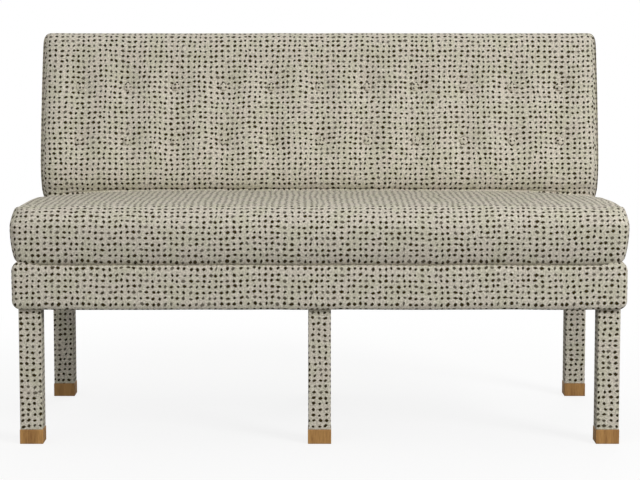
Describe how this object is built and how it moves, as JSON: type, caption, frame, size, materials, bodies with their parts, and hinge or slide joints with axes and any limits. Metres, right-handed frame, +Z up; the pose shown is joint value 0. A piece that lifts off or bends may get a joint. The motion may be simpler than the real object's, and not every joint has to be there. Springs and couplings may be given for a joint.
{
  "type": "upholstered banquette bench",
  "caption": "Free-standing upholstered banquette bench with a sprung padded seat, a raked buttoned back and square cloth-covered legs on oak feet.",
  "frame": {"origin": "on the floor, under the centre of the bench's outer box", "axes": "+Z up, +X along the bench's length to the right as seen from the front, -Y towards the front of the seat"},
  "size_m": [1.304, 0.6882, 0.858],
  "materials": {
    "cover_cloth": "natural linen weave with dark olive-brown spots",
    "oak": "satin oiled oak",
    "beech": "planed, unfinished",
    "foam": "cut upholstery foam",
    "wadding": "polyester fibre wrap",
    "hessian": "open jute weave",
    "webbing": "woven jute strip",
    "dust_cloth": "thin black non-woven cloth",
    "steel": "zinc plated and drawn wire",
    "board": "thin hardboard",
    "twine": "waxed buttoning twine",
    "toggle_card": "stiff fibre disc"
  },
  "bodies": {
    "root": {"front_rail": "beech", "rear_rail": "beech", "left_end_rail": "beech", "right_end_rail": "beech", "left_cross_rail": "beech", "right_cross_rail": "beech", "spring_rail": "beech", "leg_blocks": "beech", "foot_dowels": "beech", "left_end_stile": "beech", "left_inner_stile": "beech", "right_inner_stile": "beech", "right_end_stile": "beech", "back_top_rail": "beech", "back_lower_rail": "beech", "front_left_leg_post": "beech", "front_centre_leg_post": "beech", "front_right_leg_post": "beech", "rear_left_leg_post": "beech", "rear_centre_leg_post": "beech", "rear_right_leg_post": "beech", "front_left_foot": "oak", "front_centre_foot": "oak", "front_right_foot": "oak", "rear_left_foot": "oak", "rear_centre_foot": "oak", "rear_right_foot": "oak", "base_cover": "cover_cloth", "seat_cover": "cover_cloth", "back_cover": "cover_cloth", "outside_back_cover": "cover_cloth", "back_buttons": "cover_cloth", "front_left_leg_sleeve": "cover_cloth", "front_centre_leg_sleeve": "cover_cloth", "front_right_leg_sleeve": "cover_cloth", "rear_left_leg_sleeve": "cover_cloth", "rear_centre_leg_sleeve": "cover_cloth", "rear_right_leg_sleeve": "cover_cloth", "seat_foam": "foam", "back_foam": "foam", "base_padding": "wadding", "seat_wrap": "wadding", "back_wrap": "wadding", "outside_back_padding": "wadding", "seat_hessian": "hessian", "back_hessian": "hessian", "back_webbing": "webbing", "dust_cover": "dust_cloth", "leg_tee_nuts": "steel", "hanger_bolts": "steel", "frame_screws": "steel", "seat_springs": "steel", "spring_clips": "steel", "spring_tie_wires": "steel", "back_bolts": "steel", "back_tee_nuts": "steel", "outside_back_board": "board", "button_twines": "twine", "button_toggles": "toggle_card"}
  },
  "joints": []
}
